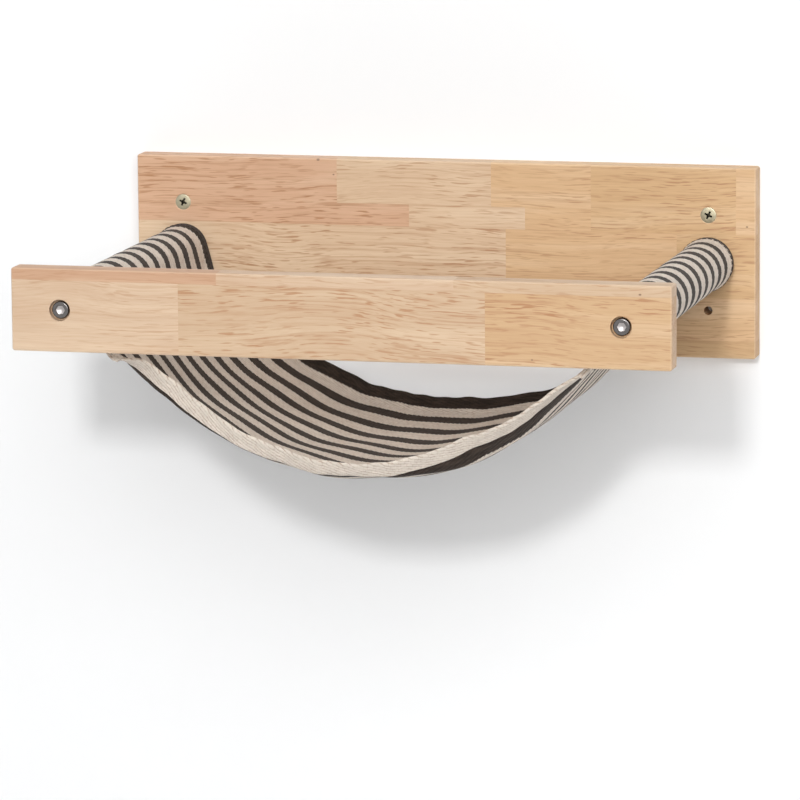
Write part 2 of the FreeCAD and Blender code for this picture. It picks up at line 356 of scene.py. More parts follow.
def make_wood(name, settings, strips, knots=()):
    """Glued-up hardwood with strips along X, one under another.

    A strip is its lower edge, its shade and its blocks, a block is (start, tint, seed) and a knot
    is (x, z, radius). All lengths are in millimetres.
    """
    finish = Finish(name)
    low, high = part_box("back_board")
    width = high.x - low.x
    place = finish.read("ShaderNodeTexCoord", output="Object")
    x, _, z = finish.axes(place)
    along = (x + width / 2) / width
    ramps = []
    # A strip's shade scales its tints; on the rail it is painted shade against the stronger light there
    for _, shade, *blocks in strips:
        ramps.append(block_ramp(finish, along, [
            ((start * MM + width / 2) / width, shaded(getattr(settings, tint), shade), seed)
            for start, tint, seed in blocks]))
    tint, seed = ramps[0]
    glue = 0.0
    glue_line = 0.22 * MM
    for (edge, *_), (next_tint, next_seed) in zip(strips, ramps[1:]):
        below = z < edge * MM
        tint = finish.mix(below, tint, next_tint)
        seed = finish.read("ShaderNodeMix", {0: below, 2: seed, 3: next_seed})
        glue = finish.math("MAXIMUM", glue, abs(z - edge * MM) < glue_line)

    # Each block is cut from another place of the tree
    apart = (7.3, 3.1, 5.7)
    sway_y, sway_z = 12 * MM, 20 * MM
    cut_from = finish.pair("ADD", place, finish.vector(*(seed * step for step in apart)))
    sway = finish.noise(cut_from, (9.0, 14.0, 14.0), detail=1.0)
    swayed = finish.pair("ADD", cut_from, finish.vector(0.0, sway * sway_y, sway * sway_z))

    broad = finish.noise(swayed, (5.0, 75.0, 75.0), detail=3.0)
    growth = finish.noise(swayed, (6.0, 600.0, 600.0), roughness=0.6)
    fibre = finish.noise(swayed, (45.0, 1700.0, 1700.0))
    pores = finish.noise(swayed, (70.0, 950.0, 950.0), detail=1.0)
    zones = finish.noise(cut_from, (10.0, 40.0, 40.0), detail=1.0)

    # A block's seed also says how strong its figure is
    figure = finish.span(seed, 0.2, 0.85, 0.5, 1.7, kind="LINEAR")
    lines = finish.span(growth, 0.48, 0.68) * finish.span(zones, 0.35, 0.6, 0.15, 0.42)
    streak = finish.span(pores, 0.57, 0.68) * finish.span(zones, 0.38, 0.62, 0.35, 0.85)
    layers = [
        (finish.span(broad, 0.42, 0.72, 0.0, 0.16), settings.pore),
        (finish.span(broad, 0.52, 0.28, 0.0, 0.25), settings.sap),
        (lines * figure, settings.pore),
        (streak * (figure * 0.8), settings.pore),
        (finish.span(fibre, 0.35, 0.7, 0.0, 0.17), settings.pore),
        (glue * 0.16, settings.pore),
    ]

    # Pin knots are longer along the grain and darkest in their heart
    squeeze, heart = 0.7, 0.35
    for knot_x, knot_z, radius in knots:
        knot = (squeeze * knot_x * MM, 0.0, knot_z * MM)
        off = finish.pair("DISTANCE", finish.vector(x * squeeze, 0.0, z), knot, "Value")
        layers.append((finish.span(off, radius * MM, heart * radius * MM, 0.0, 0.75), settings.knot))

    # Painted highlight: the eased edges are painted paler, as if they caught the light, and end grain
    # drinks more lacquer
    facing = [abs(axis) for axis in finish.axes(finish.read("ShaderNodeTexCoord", output="Normal"))]
    flat = finish.math("MAXIMUM", finish.math("MAXIMUM", facing[0], facing[1]), facing[2])
    layers.append((finish.span(flat, 0.995, 0.86, 0.0, 0.22), settings.painted_edge_highlight))
    layers.append((finish.span(facing[0], 0.7, 0.95, 0.0, 0.16), settings.pore))

    tone = tint
    for cover, stain in layers:
        tone = finish.mix(cover, tone, stain)
    finish.set(Base_Color=tone, Specular_IOR_Level=0.35,
               Roughness=finish.span(broad, 0.3, 0.7, -0.05, 0.07) + settings.roughness)
    finish.bump(fibre * 0.5 - streak, 0.35, 0.12 * MM)
    return finish.material


def make_metal(name, tint, roughness, brush):
    """Plated steel with fine turning marks round its axis and a few dull spots."""
    finish = Finish(name)
    place = finish.read("ShaderNodeTexCoord", output="Object")
    marks = finish.noise(place, (700.0, brush, 700.0), detail=3.0)
    dull = finish.noise(place, (420.0, 420.0, 420.0))
    finish.set(Base_Color=finish.mix(finish.span(dull, 0.42, 0.75, 0.0, 0.35), tint, shaded(tint, 0.55)),
               Metallic=1.0, Roughness=finish.span(marks, 0.3, 0.7, -0.06, 0.08) + roughness)
    finish.bump(marks, 0.12, 0.05 * MM)
    return finish.material


def make_canvas(settings):
    """Twill canvas with dyed stripes; the UV map holds metres across and along the cloth."""
    finish = Finish("striped_canvas")
    cloth = finish.read("ShaderNodeUVMap", uv_map="cloth")
    u, v, _ = finish.axes(cloth)
    waver = finish.noise(cloth, (120.0, 60.0, 1.0))

    # Slanting rows of short floats, each row shifted against the next
    c, s = math.cos(settings.twill), math.sin(settings.twill)
    float_length, row_shift, bend = 2.1 * settings.yarn, 0.38, 2.2 * MM
    row = (v * c + u * s + waver * bend) / settings.yarn
    place = (u * c - v * s) / float_length + finish.math("FLOOR", row) * row_shift
    hump = abs(finish.math("SINE", row * math.pi))
    ends = abs(finish.math("SINE", place * math.pi))
    weave = finish.span(hump, 0.0, 0.8) * finish.span(ends, 0.0, 0.6, 0.45, 1.0)

    # A stripe ends with its yarns' floats, so its edge has small teeth
    tooth = finish.math("FRACT", u / settings.tooth + waver)
    tooth_depth, waver_depth = 0.9 * MM, 1.2 * MM
    tooth = (tooth - 0.5) * tooth_depth + (waver - 0.5) * waver_depth
    even_at = 0.3  # metres across the cloth where the stripes have their own pitch
    spread = (even_at - u) * settings.taper + 1.0
    pitch, width = settings.stripe_pitch, settings.dark_width
    offset = v * spread + tooth - settings.first_dark
    offset = finish.math("MAXIMUM", offset, 0.5 * (width - pitch))
    offset = finish.math("MINIMUM", offset, settings.pitches * pitch + 0.5 * width)
    dark = finish.math("FRACT", offset / pitch) < width / pitch

    slub = finish.span(finish.noise(cloth, (90.0, 500.0, 1.0)), 0.35, 0.7)
    speck = finish.noise(cloth, (700.0, 700.0, 1.0))
    patchy = finish.noise(cloth, (330.0, 190.0, 1.0))
    # Painted shade in the weave's grooves, patchy so that it breaks up
    groove_shade = finish.span(weave, 0.05, 0.75, 1.0, 0.0) * finish.span(patchy, 0.36, 0.64, 0.25, 0.8)
    pale = finish.mix(slub, settings.pale, shaded(settings.pale, 1.14))
    pale = finish.mix(finish.span(speck, 0.56, 0.72, 0.0, 0.30), pale, settings.husk)
    pale = finish.mix(groove_shade, pale, settings.groove_shade)
    deep = finish.mix(slub, settings.dark, shaded(settings.dark, 1.8))
    deep = finish.mix(groove_shade * 0.6, deep, settings.dark_groove_shade)
    finish.set(Base_Color=finish.mix(dark, pale, deep), Roughness=0.92, Specular_IOR_Level=0.15,
               Sheen_Weight=0.08, Sheen_Roughness=0.5)
    finish.bump(weave + speck * 0.3, 0.6, 0.4 * MM)
    return finish.material


def make_thread(name, tint):
    """Twisted cotton thread."""
    finish = Finish(name)
    place = finish.read("ShaderNodeTexCoord", output="Object")
    twist = finish.read("ShaderNodeTexWave", {"Vector": place, "Scale": 900.0, "Distortion": 2.0}, 1)
    finish.set(Base_Color=finish.mix(twist, shaded(tint, 0.7), tint), Roughness=0.75,
               Specular_IOR_Level=0.25)
    finish.bump(twist, 0.5, 0.05 * MM)
    return finish.material


# Meshes


def new_object(name, verts, faces, material=None):
    """Mesh object in the scene."""
    mesh = bpy.data.meshes.new(name)
    mesh.from_pydata([tuple(v) for v in verts], [], faces)
    mesh.validate()
    mesh.update()
    made = bpy.data.objects.new(name, mesh)
    bpy.context.scene.collection.objects.link(made)
    if material:
        mesh.materials.append(material)
    return made


def apply_modifiers(piece):
    """Turns what a piece's modifiers make into its own mesh."""
    graph = bpy.context.evaluated_depsgraph_get()
    mesh = bpy.data.meshes.new_from_object(piece.evaluated_get(graph))
    piece.modifiers.clear()
    old = piece.data
    piece.data = mesh
    bpy.data.meshes.remove(old)


def smooth(piece, degrees):
    """Smooth shading except across edges sharper than the angle."""
    piece.data.shade_smooth()
    piece.data.set_sharp_from_angle(angle=math.radians(degrees))


def cut(piece, cutters):
    """Cuts other meshes out of a piece and removes them."""
    for cutter in cutters:
        tool = piece.modifiers.new("cut", "BOOLEAN")
        tool.operation = "DIFFERENCE"
        tool.solver = "EXACT"
        tool.object = cutter
        apply_modifiers(piece)
        bpy.data.objects.remove(cutter)


def quads(rows, count, closed, first=0):
    """Faces between rows of points; a closed row goes on from its last point to its first."""
    faces = []
    for start in range(first, first + (rows - 1) * count, count):
        for place in range(count if closed else count - 1):
            after = (place + 1) % count
            faces.append((start + place, start + after, start + count + after, start + count + place))
    return faces


def lathe(name, rows, pitch, sides=40):
    """Closed mesh about Z from rows of (z, radius), or of (z, radius, crest) on a thread."""
    turns = np.arange(sides) / sides
    ring = np.stack([np.cos(2 * math.pi * turns), np.sin(2 * math.pi * turns)], 1)
    verts = [(0.0, 0.0, rows[0][0])]
    for z, radius, *crest in rows:
        reach = np.full(sides, radius)
        if crest:
            # Steep flanks with a narrow flat between them
            phase = (z / pitch - turns) % 1.0
            reach += (crest[0] - radius) * np.clip(1.25 - np.abs(phase - 0.5) * 3.6, 0.0, 1.0)
        verts += [(r * x, r * y, z) for r, (x, y) in zip(reach, ring)]
    faces = quads(len(rows), sides, True, 1)
    top = len(verts)
    for side in range(sides):
        after = (side + 1) % sides
        faces.append((0, 1 + after, 1 + side))
        faces.append((top, top - sides + side, top - sides + after))
    verts.append((0.0, 0.0, rows[-1][0]))
    return new_object(name, verts, faces)


def prism(name, sections):
    """Closed mesh through sections of (z, points) with the same count of points."""
    verts = [(x, y, z) for z, points in sections for x, y in points]
    count = len(verts) // len(sections)
    faces = quads(len(sections), count, True)
    faces.append(tuple(reversed(range(count))))
    faces.append(tuple(range(len(verts) - count, len(verts))))
    return new_object(name, verts, faces)


def polygon(corners, radius):
    """Corners of a regular polygon."""
    turns = [2 * math.pi * corner / corners for corner in range(corners)]
    return [(radius * math.cos(turn), radius * math.sin(turn)) for turn in turns]


def make_bolt(name, settings, tip):
    """Low-head socket bolt along Z with its origin under the head, in metres."""
    top, rim, crown = -settings.bolt_head, 5.25 * MM, 4.35 * MM
    shank, root, crest = 3.0 * MM, 2.45 * MM, 2.98 * MM
    bevel, fillet = 0.2 * MM, 0.3 * MM
    rise, round_height = 0.02 * MM, 0.85 * MM
    hub, crown_edge = 0.9 * MM, 0.3 * MM
    rows = [(top, hub), (top, crown - crown_edge), (top + rise, crown)]
    steps = 9
    for step in range(1, steps + 1):
        slope = math.pi / 2 * step / steps
        rows.append((top + rise + round_height * (1 - math.cos(slope)),
                     crown + (rim - crown) * math.sin(slope)))
    rows += [(-bevel, rim), (0.0, rim - bevel), (0.0, shank + fillet), (fillet, shank)]
    pitch = settings.bolt_pitch
    thread_start = 3.0 * MM
    rows.append((thread_start - pitch, shank))
    thread_steps = 8
    point, point_radius, tip_radius = 0.5 * MM, 2.4 * MM, 2.0 * MM
    for z in np.arange(thread_start, tip - point - 0.1 * MM, pitch / thread_steps):
        rows.append((float(z), root, crest))
    rows += [(tip - point, point_radius), (tip, tip_radius)]
    bolt = lathe(name, rows, pitch)
    corner = settings.socket / math.sqrt(3)
    socket = ((-0.3, 1.10), (-0.01, 1.08), (0.22, 1.0), (1.1, 1.0), (2.2, 0.12))
    cut(bolt, [prism("hexagon", [(top + depth * MM, polygon(6, part * corner)) for depth, part in socket])])
    # The socket's faces take the second finish, a brighter copy of the metal that paints light into the
    # socket
    for face in bolt.data.polygons:
        inside = face.center.xy.length < 1.05 * corner and top + 0.05 * MM < face.center.z < 0.0
        face.material_index = int(inside)
    return bolt


def make_wall_screw(name, settings, tip, plain):
    """Countersunk cross-head screw along Z with its origin on top of the head, in metres.

    The thread goes from the end of the plain neck to the tip.
    """
    head, neck, crest, core = 5.0 * MM, 2.0 * MM, 2.5 * MM, 1.65 * MM
    pitch = settings.screw_pitch
    rows = [(0.0, 1.0 * MM), (0.0, head - 0.45 * MM), (0.1 * MM, head - 0.1 * MM), (0.3 * MM, head),
            (0.55 * MM, head - 0.25 * MM), (2.75 * MM, neck + 0.4 * MM), (3.5 * MM, neck), (plain, neck)]
    point, thread_steps = 6.0 * MM, 9
    for z in np.arange(plain + 0.2 * MM, tip - 0.1 * MM, pitch / thread_steps):
        left = min(1.0, (tip - z) / point)
        rows.append((float(z), max(0.12 * MM, core * left ** 0.8), max(0.2 * MM, crest * left ** 0.75)))
    rows.append((tip, 0.1 * MM))
    screw = lathe(name, rows, pitch)
    cutters = []
    for turn in (settings.cross_turn, settings.cross_turn + math.pi / 2):
        c, s = math.cos(turn) * MM, math.sin(turn) * MM
        wing = []
        for z, reach, half in ((-0.4, 2.75, 0.66), (0.1, 2.5, 0.58), (2.7, 0.95, 0.42)):
            corners = ((reach, half), (-reach, half), (-reach, -half), (reach, -half))
            wing.append((z * MM, [(a * c - b * s, a * s + b * c) for a, b in corners]))
        cutters.append(prism("wing", wing))
    pit = ((-0.4, 1.5), (0.1, 1.25), (2.9, 0.45))
    cutters.append(prism("pit", [(z * MM, polygon(16, radius * MM)) for z, radius in pit]))
    cut(screw, cutters)
    # The cross recess takes the second finish, a dark copy of the zinc that paints shade into the recess
    for face in screw.data.polygons:
        depth = face.center.z
        inside = face.center.xy.length < 2.6 * MM - 0.4 * depth
        face.material_index = int(inside and 0.02 * MM < depth < 2.95 * MM)
    return screw


# Sling


def ease(share_of_way):
    """Smooth step from 0 to 1."""
    part = np.clip(share_of_way, 0.0, 1.0)
    return part * part * (3 - 2 * part)


def run_length(points):
    """Length along a line of points up to each of them."""
    return np.concatenate([[0.0], np.cumsum(np.linalg.norm(np.diff(points, axis=0), axis=1))])


def on_line(here, run, values):
    """Vector at a length along a line that has these vectors at its points."""
    return np.array([np.interp(here, run, part) for part in values.T])


class SlingShape:
    """Middle surface of the sling's canvas, in metres.

    A row of points goes from the seam under the left arm round that arm, over the bed and round
    the right arm. A column goes from the hem folded under at the front to the one at the back.
    """

    bed_half = 56  # columns from the bed's middle to a seam
    seam_columns = 5  # columns where a seam has two layers
    tangent_columns = 8  # from a seam to the round of an arm
    arc_columns = 29  # round an arm
    fold_rows = 9  # rows of the canvas folded under at a hem
    fine_rows, bed_rows = 18, 72  # along a hem and between the hems
    line_steps = 121  # points along a lip and along the bed between the lips
    fold_turns = (150, 120, 90, 60, 30)  # degrees round a hem's fold
    fold_radius = 0.525 * MM
    hem_lift = 0.8 * MM  # rise of the canvas over what is folded under
    hem_fade = 4 * MM  # width over which that rise fades
    fine_width = 24 * MM  # width of the closer rows along a hem
    lip_length = 30 * MM  # of a lip with its turn into the bed
    edge_inset = 1.0 * MM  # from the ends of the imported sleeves
    seam_gaps = (0.55 * MM, 0.85 * MM)  # from a seam's middle to a layer, in the bed and at a hem
    eased_columns, ease_passes = 4, 10  # on each side of a seam's end, where the canvas bends gently
    spread_start, spread_columns = -1, 16  # from a seam's end, where the bed takes its own places
    stand_start, stand_columns = -3, 8  # from a seam's end, where a lip comes up
    column_width = 3.0 * MM  # in the bed, roughly

    def __init__(self, settings):
        self.settings = settings
        arm = box_middle("arm_right")
        self.arm_x, self.arm_z = arm.x, arm.z
        low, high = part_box("arm_right")
        self.loop_radius = (high.z - low.z) / 2 + settings.sleeve_gap
        low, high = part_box("sleeve_right")
        self.front, self.back = low.y + self.edge_inset, high.y - self.edge_inset
        self.half_span = self.arm_x - settings.seam_end * math.cos(settings.sleeve_tilt)
        self.seam_drop = settings.seam_end * math.sin(settings.sleeve_tilt)
        self.loop_count = len(self.loop_line(self.seam_gaps[0]))
        self.columns = 2 * self.loop_count + 2 * self.bed_half - 1
        self.lay_profile()
        self.lay_rows()
        self.lay_surface()

    def lay_profile(self):
        """Lines from front to back by the cloth's own length, for each column.

        They hold Y, the share of the hem's section and the rise of a lip.
        """
        s = self.settings
        centre = self.columns // 2
        place = np.clip((np.arange(self.columns) - centre) / self.bed_half, -1.0, 1.0)
        left, right = np.maximum(-place, 0.0), np.maximum(place, 0.0)
        flat = s.flat_middle + (s.flat_left - s.flat_middle) * left
        flat += (s.flat_right - s.flat_middle) * ease(right / s.widens)
        self.lean = s.lean_middle + (s.lean_left - s.lean_middle) * left
        self.lean += (s.lean_right - s.lean_middle) * ease((right - s.leans) / (1 - s.leans))
        front_out, front_rise = self.lip_line(flat, self.lean)
        rear_out, rear_rise = self.lip_line(s.flat_middle, np.full_like(self.lean, s.lean_middle))
        across = np.linspace(0.0, 1.0, self.line_steps)[1:-1, None]
        first, last = self.front + front_out, self.back - rear_out[::-1]
        ys = np.concatenate([first, first[-1] + (last[0] - first[-1]) * across, last])
        rise = np.concatenate([front_rise, np.zeros((len(across), self.columns)), rear_rise[::-1]])
        middle, reach = (self.front + self.back) / 2, (self.back - self.front) / 2
        full = 1 - s.right_full * ease(right / s.fills)
        hem_part = np.abs((ys - middle) / reach) ** s.deepens * full
        depth = s.bed_drop + (s.end_drop - s.bed_drop) * hem_part[:, centre] - rise[:, centre]
        self.run = run_length(np.stack([ys[:, centre], depth], 1))
        self.width = self.run[-1]
        self.profile = np.stack([ys, hem_part, rise])

    def lip_line(self, flat, lean):
        """Reach and rise of a lip from its free edge on, for each column."""
        steps = np.linspace(0.0, self.lip_length, self.line_steps)[:, None]
        slope = lean + (math.pi / 2 - lean) * ease((steps - flat) / self.settings.lip_turn)
        out = np.cumsum(np.sin(slope), axis=0) * steps[1]
        fall = np.cumsum(np.cos(slope), axis=0) * steps[1]
        return out - out[0], fall[-1] - fall

    def on_hem(self, v):
        """1 where the canvas is folded under, fading to 0 beside it."""
        edge = min(v, self.width - v)
        return np.clip((self.settings.hem_fold + self.hem_fade - edge) / self.hem_fade, 0.0, 1.0)

    def lay_rows(self):
        """Rows as (place along the cloth, height over the middle, UV place)."""
        width, radius, lift = self.width, self.fold_radius, self.hem_lift
        under = lift - 2 * radius
        inner = np.linspace(self.settings.hem_fold, 0.6 * MM, self.fold_rows)
        turns = np.radians(self.fold_turns)
        bend = [(radius * math.sin(a), lift - radius + radius * math.cos(a), radius * a) for a in turns]
        near = np.linspace(0.5 * MM, self.fine_width, self.fine_rows)
        middle = np.linspace(self.fine_width, width - self.fine_width, self.bed_rows + 2)[1:-1]
        main = np.concatenate([near, middle, width - near[::-1]])
        rows = [(v, under, -v - math.pi * radius) for v in inner]
        rows += [(-over, height, -place) for over, height, place in bend]
        rows += [(v, lift * ease(self.on_hem(v)), v) for v in main]
        rows += [(width + over, height, width + place) for over, height, place in bend[::-1]]
        rows += [(width - v, under, width + v + math.pi * radius) for v in inner[::-1]]
        self.rows = np.array(rows)
        first = len(inner) + len(bend)
        self.main_rows = np.arange(first, first + len(main))

    def bed_line(self, drop, round_share):
        """Half of a bed section from its middle to the seam, as depths below the arms."""
        wanted = (drop - self.seam_drop) / self.half_span
        low, high = 0.0, math.pi / 2
        for _ in range(40):
            slope = (low + high) / 2
            if (1 - round_share) * math.tan(slope) + round_share * math.tan(slope / 2) < wanted:
                low = slope
            else:
                high = slope
        radius = round_share * self.half_span / math.sin(slope)
        arc = radius * slope
        straight = (1 - round_share) * self.half_span / math.cos(slope)
        run = np.linspace(0.0, arc + straight, self.bed_half + 1)[:-1]
        bend = np.minimum(run, arc) / radius
        past = np.maximum(run - arc, 0.0)
        x = radius * np.sin(bend) + past * math.cos(slope)
        depth = drop - radius * (1 - np.cos(bend)) - past * math.sin(slope)
        return x, depth

    def loop_line(self, gap):
        """Right sleeve from the seam's end over the arm and back, in the arm's tilted axes."""
        s = self.settings
        reach = math.hypot(s.layers_meet, gap)
        touch = math.atan2(gap, s.layers_meet) + math.acos(self.loop_radius / reach)
        seam = np.linspace(s.seam_end, s.layers_meet, self.seam_columns + 1)[:-1]
        top = self.loop_radius * np.array([math.cos(touch), math.sin(touch)])
        line = np.linspace([s.layers_meet, gap], top, self.tangent_columns + 1)[:-1]
        turn = np.linspace(touch, 2 * math.pi - touch, self.arc_columns)
        arc = self.loop_radius * np.stack([np.cos(turn), np.sin(turn)], 1)
        upper = np.concatenate([np.stack([seam, np.full_like(seam, gap)], 1), line])
        return np.concatenate([upper, arc, upper[::-1] * (1, -1)])

    def section(self, drop, round_share, gap):
        """One line across the sling from seam to seam, as places (x, z)."""
        x, depth = self.bed_line(drop, round_share)
        half = np.stack([x, self.arm_z - depth], 1)
        bed = np.concatenate([half[:0:-1] * (-1, 1), half])
        loop = self.loop_line(gap)
        c, s = math.cos(self.settings.sleeve_tilt), math.sin(self.settings.sleeve_tilt)
        right = np.stack([self.arm_x - loop[:, 0] * c - loop[:, 1] * s,
                          self.arm_z - loop[:, 0] * s + loop[:, 1] * c], 1)
        line = np.concatenate([right[::-1] * (-1, 1), bed, right])
        # The canvas bends gently where it leaves the seam
        for _ in range(self.ease_passes):
            for middle in (self.loop_count, self.columns - self.loop_count - 1):
                first, last = middle - self.eased_columns, middle + self.eased_columns + 1
                before, here, after = (line[first + step:last + step] for step in (-1, 0, 1))
                line[first:last] = (before + 2 * here + after) / 4
        # The lower layer of a seam follows the upper one
        inward = self.inward(line)
        for lower, upper in self.seam_pairs():
            line[lower] = line[upper] - 2 * gap * inward[upper]
        return line

    def inward(self, line):
        """Directions square to a line across the sling, towards the inside of the bed."""
        way = np.gradient(line, axis=0)
        return np.stack([-way[:, 1], way[:, 0]], 1) / np.linalg.norm(way, axis=1)[:, None]

    def seam_pairs(self):
        """Columns of the lower layer of each seam with those of the layer over them."""
        layers = np.arange(self.seam_columns)
        return ((layers, self.loop_count - 1 - layers),
                (self.columns - 1 - layers, self.columns - self.loop_count + layers))

    def lay_surface(self):
        """Points, normals and cloth places of all rows and columns."""
        s = self.settings
        points = np.zeros((len(self.rows), self.columns, 3))
        column = np.arange(self.columns)
        in_bed = np.minimum(column - self.loop_count, self.columns - self.loop_count - 1 - column)
        # Near a seam the bed keeps to the sleeve's own places along the arm, and a lip dies out
        spread = ease((in_bed - self.spread_start) / self.spread_columns)
        stand = ease((in_bed - self.stand_start) / self.stand_columns)
        for lower, upper in self.seam_pairs():
            stand[lower] = stand[upper]
        bed, hem = ([self.section(drop, round_share, gap) for gap in self.seam_gaps]
                    for drop, round_share in ((s.bed_drop, s.bed_round), (s.end_drop, s.hem_round)))
        across = run_length(bed[0])
        for index, (v, height, _) in enumerate(self.rows):
            over = max(0.0, -min(v, self.width - v))
            spot_in_run = np.interp(v, self.run, np.arange(len(self.run)))
            low = min(int(spot_in_run), len(self.run) - 2)
            before, after = self.profile[:, low], self.profile[:, low + 1]
            bed_y, hem_part, rise = before + (spot_in_run - low) * (after - before)
            lean = self.lean if v < self.width / 2 else s.lean_middle
            rise = rise + over * np.cos(lean)
            bed_y = bed_y + np.sign(v - self.width / 2) * over * np.sin(lean)
            sleeve_y = self.front + (self.back - self.front) * v / self.width
            thin, thick = (middle + (end - middle) * hem_part[:, None] for middle, end in zip(bed, hem))
            line = thin + (thick - thin) * self.on_hem(v)
            inward = self.inward(line)
            for lower, upper in self.seam_pairs():
                inward[lower] = inward[upper]
            bulge = height + rise * stand + self.ripple(across, np.clip(v, 0.0, self.width), in_bed)
            points[index, :, ::2] = line + inward * bulge[:, None]
            points[index, :, 1] = sleeve_y + (bed_y - sleeve_y) * spread
        normals = np.cross(np.gradient(points, axis=1), np.gradient(points, axis=0))
        self.normals = normals / np.maximum(np.linalg.norm(normals, axis=2), 1e-12)[:, :, None]
        self.points = points
        self.places = np.stack(np.broadcast_arrays(across, self.rows[:, 2:]), -1)

    def ripple(self, u, v, in_bed):
        """Small waves of the canvas: puckers at the seams and hems and soft folds in the bed."""
        s = self.settings
        bed = (in_bed > 0).astype(float)
        sleeve = (in_bed < -self.seam_columns - 1).astype(float)
        from_seam = np.maximum(in_bed, 0) * self.column_width
        from_hem = min(v, self.width - v)
        at_seam = bed * np.exp(-from_seam / s.seam_reach) * np.minimum(1, in_bed / 3)
        at_hem = bed * np.exp(-from_hem / s.hem_reach) * np.minimum(1, in_bed / 8)
        inside = bed * np.minimum(1, in_bed / 14)
        seam_wave = np.sin(v / (2.1 * MM) + 3 * np.sin(u * 31)) + 0.6 * np.sin(v / (3.4 * MM) + 1.3)
        hem_wave = np.sin(u / (2.9 * MM) + 2 * np.sin(u * 43)) + 0.7 * np.sin(u / (4.7 * MM) + 0.8)
        broad_fold = np.sin(u * 74 + v * 33 + 1.1) * np.sin(v * 47 - u * 21 + 0.4)
        slanting_fold = np.sin(u * 143 - v * 61 + 2.0)
        sleeve_wave = 1 + np.sin(v * 190 + 2.5 * np.sin(u * 60)) * np.sin(u * 130 + v * 35)
        return (s.seam_pucker * at_seam * seam_wave + s.hem_pucker * at_hem * hem_wave
                + s.broad_fold * inside * broad_fold + s.slanting_fold * inside * slanting_fold
                + s.sleeve_wave * sleeve * sleeve_wave)

    def at(self, row, column):
        """Place and normal at a fraction of rows and columns."""
        r, c = min(int(row), len(self.rows) - 2), min(int(column), self.columns - 2)
        a, b = row - r, column - c
        weights = np.outer((1 - a, a), (1 - b, b))
        place, normal = (
            np.tensordot(weights, grid[r:r + 2, c:c + 2]) for grid in (self.points, self.normals))
        return place, normal / np.linalg.norm(normal)


def make_cloth(shape, material):
    """Canvas of the sling as one thick sheet."""
    rows, columns = shape.points.shape[:2]
    cloth = new_object("sling_canvas", shape.points.reshape(-1, 3), quads(rows, columns, False), material)
    layer = cloth.data.uv_layers.new(name="cloth")
    corner = np.zeros(len(cloth.data.loops), int)
    cloth.data.loops.foreach_get("vertex_index", corner)
    layer.data.foreach_set("uv", shape.places.reshape(-1, 2)[corner].astype(np.float32).ravel())
    thick = cloth.modifiers.new("thickness", "SOLIDIFY")
    thick.thickness = shape.settings.thickness
    thick.offset = 0.0
    thick.use_even_offset = True
    apply_modifiers(cloth)
    smooth(cloth, 60)
    return cloth


def sew(name, shape, lines, material):
    """Rows of stitches; each line gives places and normals on the cloth's face."""
    radius, pitch = shape.settings.thread / 2, shape.settings.stitch
    stitch_length = 0.84 * pitch
    # Each stitch dives into the cloth at both ends: share of its length, height in thread radii
    bow = ((0.0, -1.1), (0.1, 0.25), (0.3, 0.75), (0.7, 0.75), (0.9, 0.25), (1.0, -1.1))
    ring = polygon(6, radius)
    verts, faces = [], []
    for places, normals in lines:
        run = run_length(places)
        for start in np.arange(0.5 * pitch, run[-1] - pitch, pitch):
            first = len(verts)
            for part, height in bow:
                here = start + part * stitch_length
                place, normal = on_line(here, run, places), on_line(here, run, normals)
                normal /= np.linalg.norm(normal)
                side = np.cross(on_line(here + 0.3 * pitch, run, places) - place, normal)
                side /= np.linalg.norm(side)
                middle = place + normal * radius * height
                verts += [middle + x * side + y * normal for x, y in ring]
            faces += quads(len(bow), len(ring), True, first)
            faces.append(tuple(reversed(range(first, first + len(ring)))))
            faces.append(tuple(range(len(verts) - len(ring), len(verts))))
    stitches = new_object(name, verts, faces, material)
    smooth(stitches, 60)
    return stitches


# Pieces in the frame


def dress(piece, body, slot, *nodes):
    """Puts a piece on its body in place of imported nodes."""
    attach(piece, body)
    if nodes:
        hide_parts(*nodes)


def fasten(piece, node, y, into_wall, slot, *finishes):
    """Puts a fastener made along Z in the place of a packed one, pointing into or out of the wall."""
    middle = box_middle(node)
    way = 1.0 if into_wall else -1.0
    piece.data.transform(Matrix((
        (1, 0, 0, middle.x), (0, 0, way, y), (0, -way, 0, middle.z), (0, 0, 0, 1))))
    piece.data.update()
    for finish in finishes:
        piece.data.materials.append(finish)
    smooth(piece, 35)
    dress(piece, "frame", slot, node)


def repaint(node, material):
    """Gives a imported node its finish."""
    mesh = frame["nodes"][node].data
    mesh.materials.clear()
    mesh.materials.append(material)


